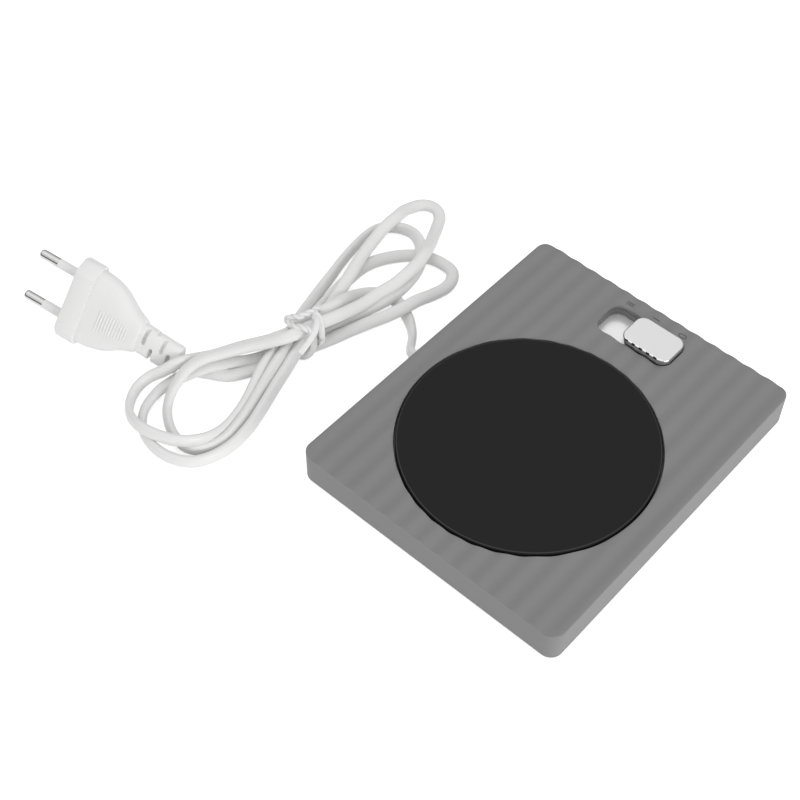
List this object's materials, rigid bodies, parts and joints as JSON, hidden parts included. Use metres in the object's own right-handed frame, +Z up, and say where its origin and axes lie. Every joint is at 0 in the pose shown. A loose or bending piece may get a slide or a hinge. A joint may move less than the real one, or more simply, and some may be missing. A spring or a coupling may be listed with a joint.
{
  "type": "electric mug warmer",
  "caption": "Flat table warmer with a round heating plate, a waved grey housing, a sliding off-low-high switch and a tied flat mains lead with a two-pin plug.",
  "frame": {"origin": "on the table under the middle of the housing", "axes": "+X to the right, towards the switch; +Y to the back, where the lead leaves; +Z up"},
  "size_m": [0.1771, 0.2583, 0.0318],
  "materials": {
    "housing_plastic": "fine grained grey moulding, satin",
    "base_plastic": "grained grey moulding",
    "zinc_steel": "zinc plated",
    "foot_rubber": "matte",
    "plate_coating": "matte non-stick coating",
    "mica": "layered mica sheet",
    "glass_fibre": "pressed fibre pad",
    "steatite": "ceramic",
    "guide_plastic": "grey moulding",
    "knob_chrome": "satin chrome plating",
    "switch_plastic": "black moulding",
    "lever_plastic": "natural moulding",
    "contact_brass": "stamped strip",
    "board_laminate": "lacquered laminate",
    "wire_sleeve": "silicone sleeve",
    "cord_vinyl": "smooth white vinyl",
    "tie_vinyl": "white vinyl over wire",
    "plug_vinyl": "fine satin white vinyl",
    "pin_nickel": "nickel plated"
  },
  "bodies": {
    "housing": {"top_housing": "housing_plastic", "base_cover": "base_plastic", "base_screws": "zinc_steel", "rubber_feet": "foot_rubber", "heating_plate": "plate_coating", "heater_element": "mica", "insulation_pad": "glass_fibre", "clamp_plate": "zinc_steel", "clamp_nuts": "zinc_steel", "thermostat": "steatite", "thermostat_strap": "zinc_steel", "thermal_fuse": "steatite", "fuse_clip": "zinc_steel", "slide_guide": "guide_plastic", "guide_screws": "zinc_steel", "switch_body": "switch_plastic", "switch_terminals": "contact_brass", "switch_screws": "zinc_steel", "low_heat_board": "board_laminate", "low_heat_diode": "switch_plastic", "wire_harness": "wire_sleeve", "cord_gland": "cord_vinyl", "inner_lead": "cord_vinyl", "cord_clamp": "lever_plastic", "clamp_screws": "zinc_steel", "cord_lead": "cord_vinyl", "cord_hank": "cord_vinyl", "cord_tail": "cord_vinyl", "cord_tie": "tie_vinyl", "plug_body": "plug_vinyl", "pin_carrier": "plug_vinyl", "plug_pins": "pin_nickel", "pin_sleeves": "plug_vinyl"},
    "slider": {"slider_knob": "knob_chrome", "switch_lever": "lever_plastic", "contact_bridge": "contact_brass"}
  },
  "joints": [
    {"name": "knob_slide", "type": "slide", "parent": "housing", "child": "slider", "axis": [0, 1, 0], "range_m": [0, 0.012]}
  ]
}
